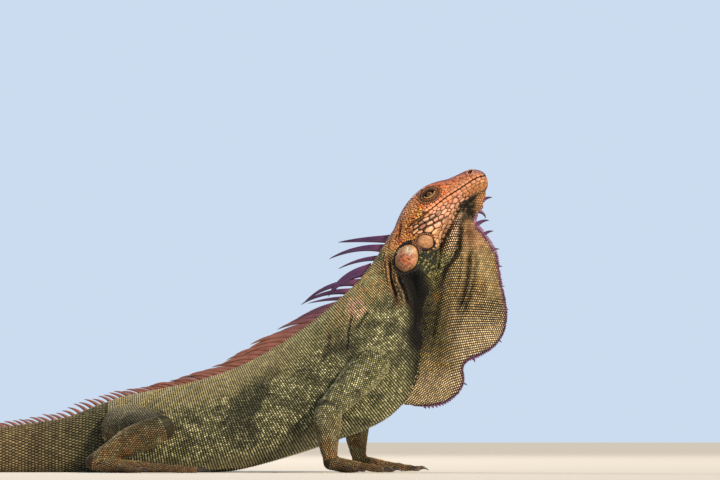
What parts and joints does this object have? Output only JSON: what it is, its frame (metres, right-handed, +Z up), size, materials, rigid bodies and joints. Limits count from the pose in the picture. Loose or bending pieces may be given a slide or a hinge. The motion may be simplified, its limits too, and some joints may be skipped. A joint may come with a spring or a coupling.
{
  "type": "green iguana",
  "caption": "Life-size adult male green iguana propped on its forelegs, head raised, dewlap spread, long tail laid behind.",
  "frame": {"origin": "middle of the box's underside, on the surface the animal rests on", "axes": "+X towards the snout, +Y towards the animal's left, +Z up"},
  "size_m": [1.2028, 0.2804, 0.2573],
  "materials": {
    "head_skin": "dry keeled scales, satin",
    "neck_skin": "dry small scales, satin",
    "trunk_skin": "dry small scales, satin",
    "dewlap_skin": "dry beaded scales on thin skin, satin",
    "limb_skin": "dry small scales, satin",
    "tail_skin": "dry keeled scales in rings, satin",
    "eye": "wet, glossy",
    "crest_spine": "horny spine, satin",
    "claw": "worn horn, semi-gloss"
  },
  "bodies": {
    "root": {"head": "head_skin", "eye_left": "eye", "eye_right": "eye", "neck": "neck_skin", "dewlap": "dewlap_skin", "torso": "trunk_skin", "tail_1": "tail_skin", "tail_2": "tail_skin", "tail_3": "tail_skin", "tail_4": "tail_skin", "tail_5": "tail_skin", "upper_arm_left": "limb_skin", "upper_arm_right": "limb_skin", "forearm_left": "limb_skin", "forearm_right": "limb_skin", "hand_left": "limb_skin", "hand_right": "limb_skin", "thigh_left": "limb_skin", "thigh_right": "limb_skin", "shin_left": "limb_skin", "shin_right": "limb_skin", "foot_left": "limb_skin", "foot_right": "limb_skin"}
  },
  "joints": []
}
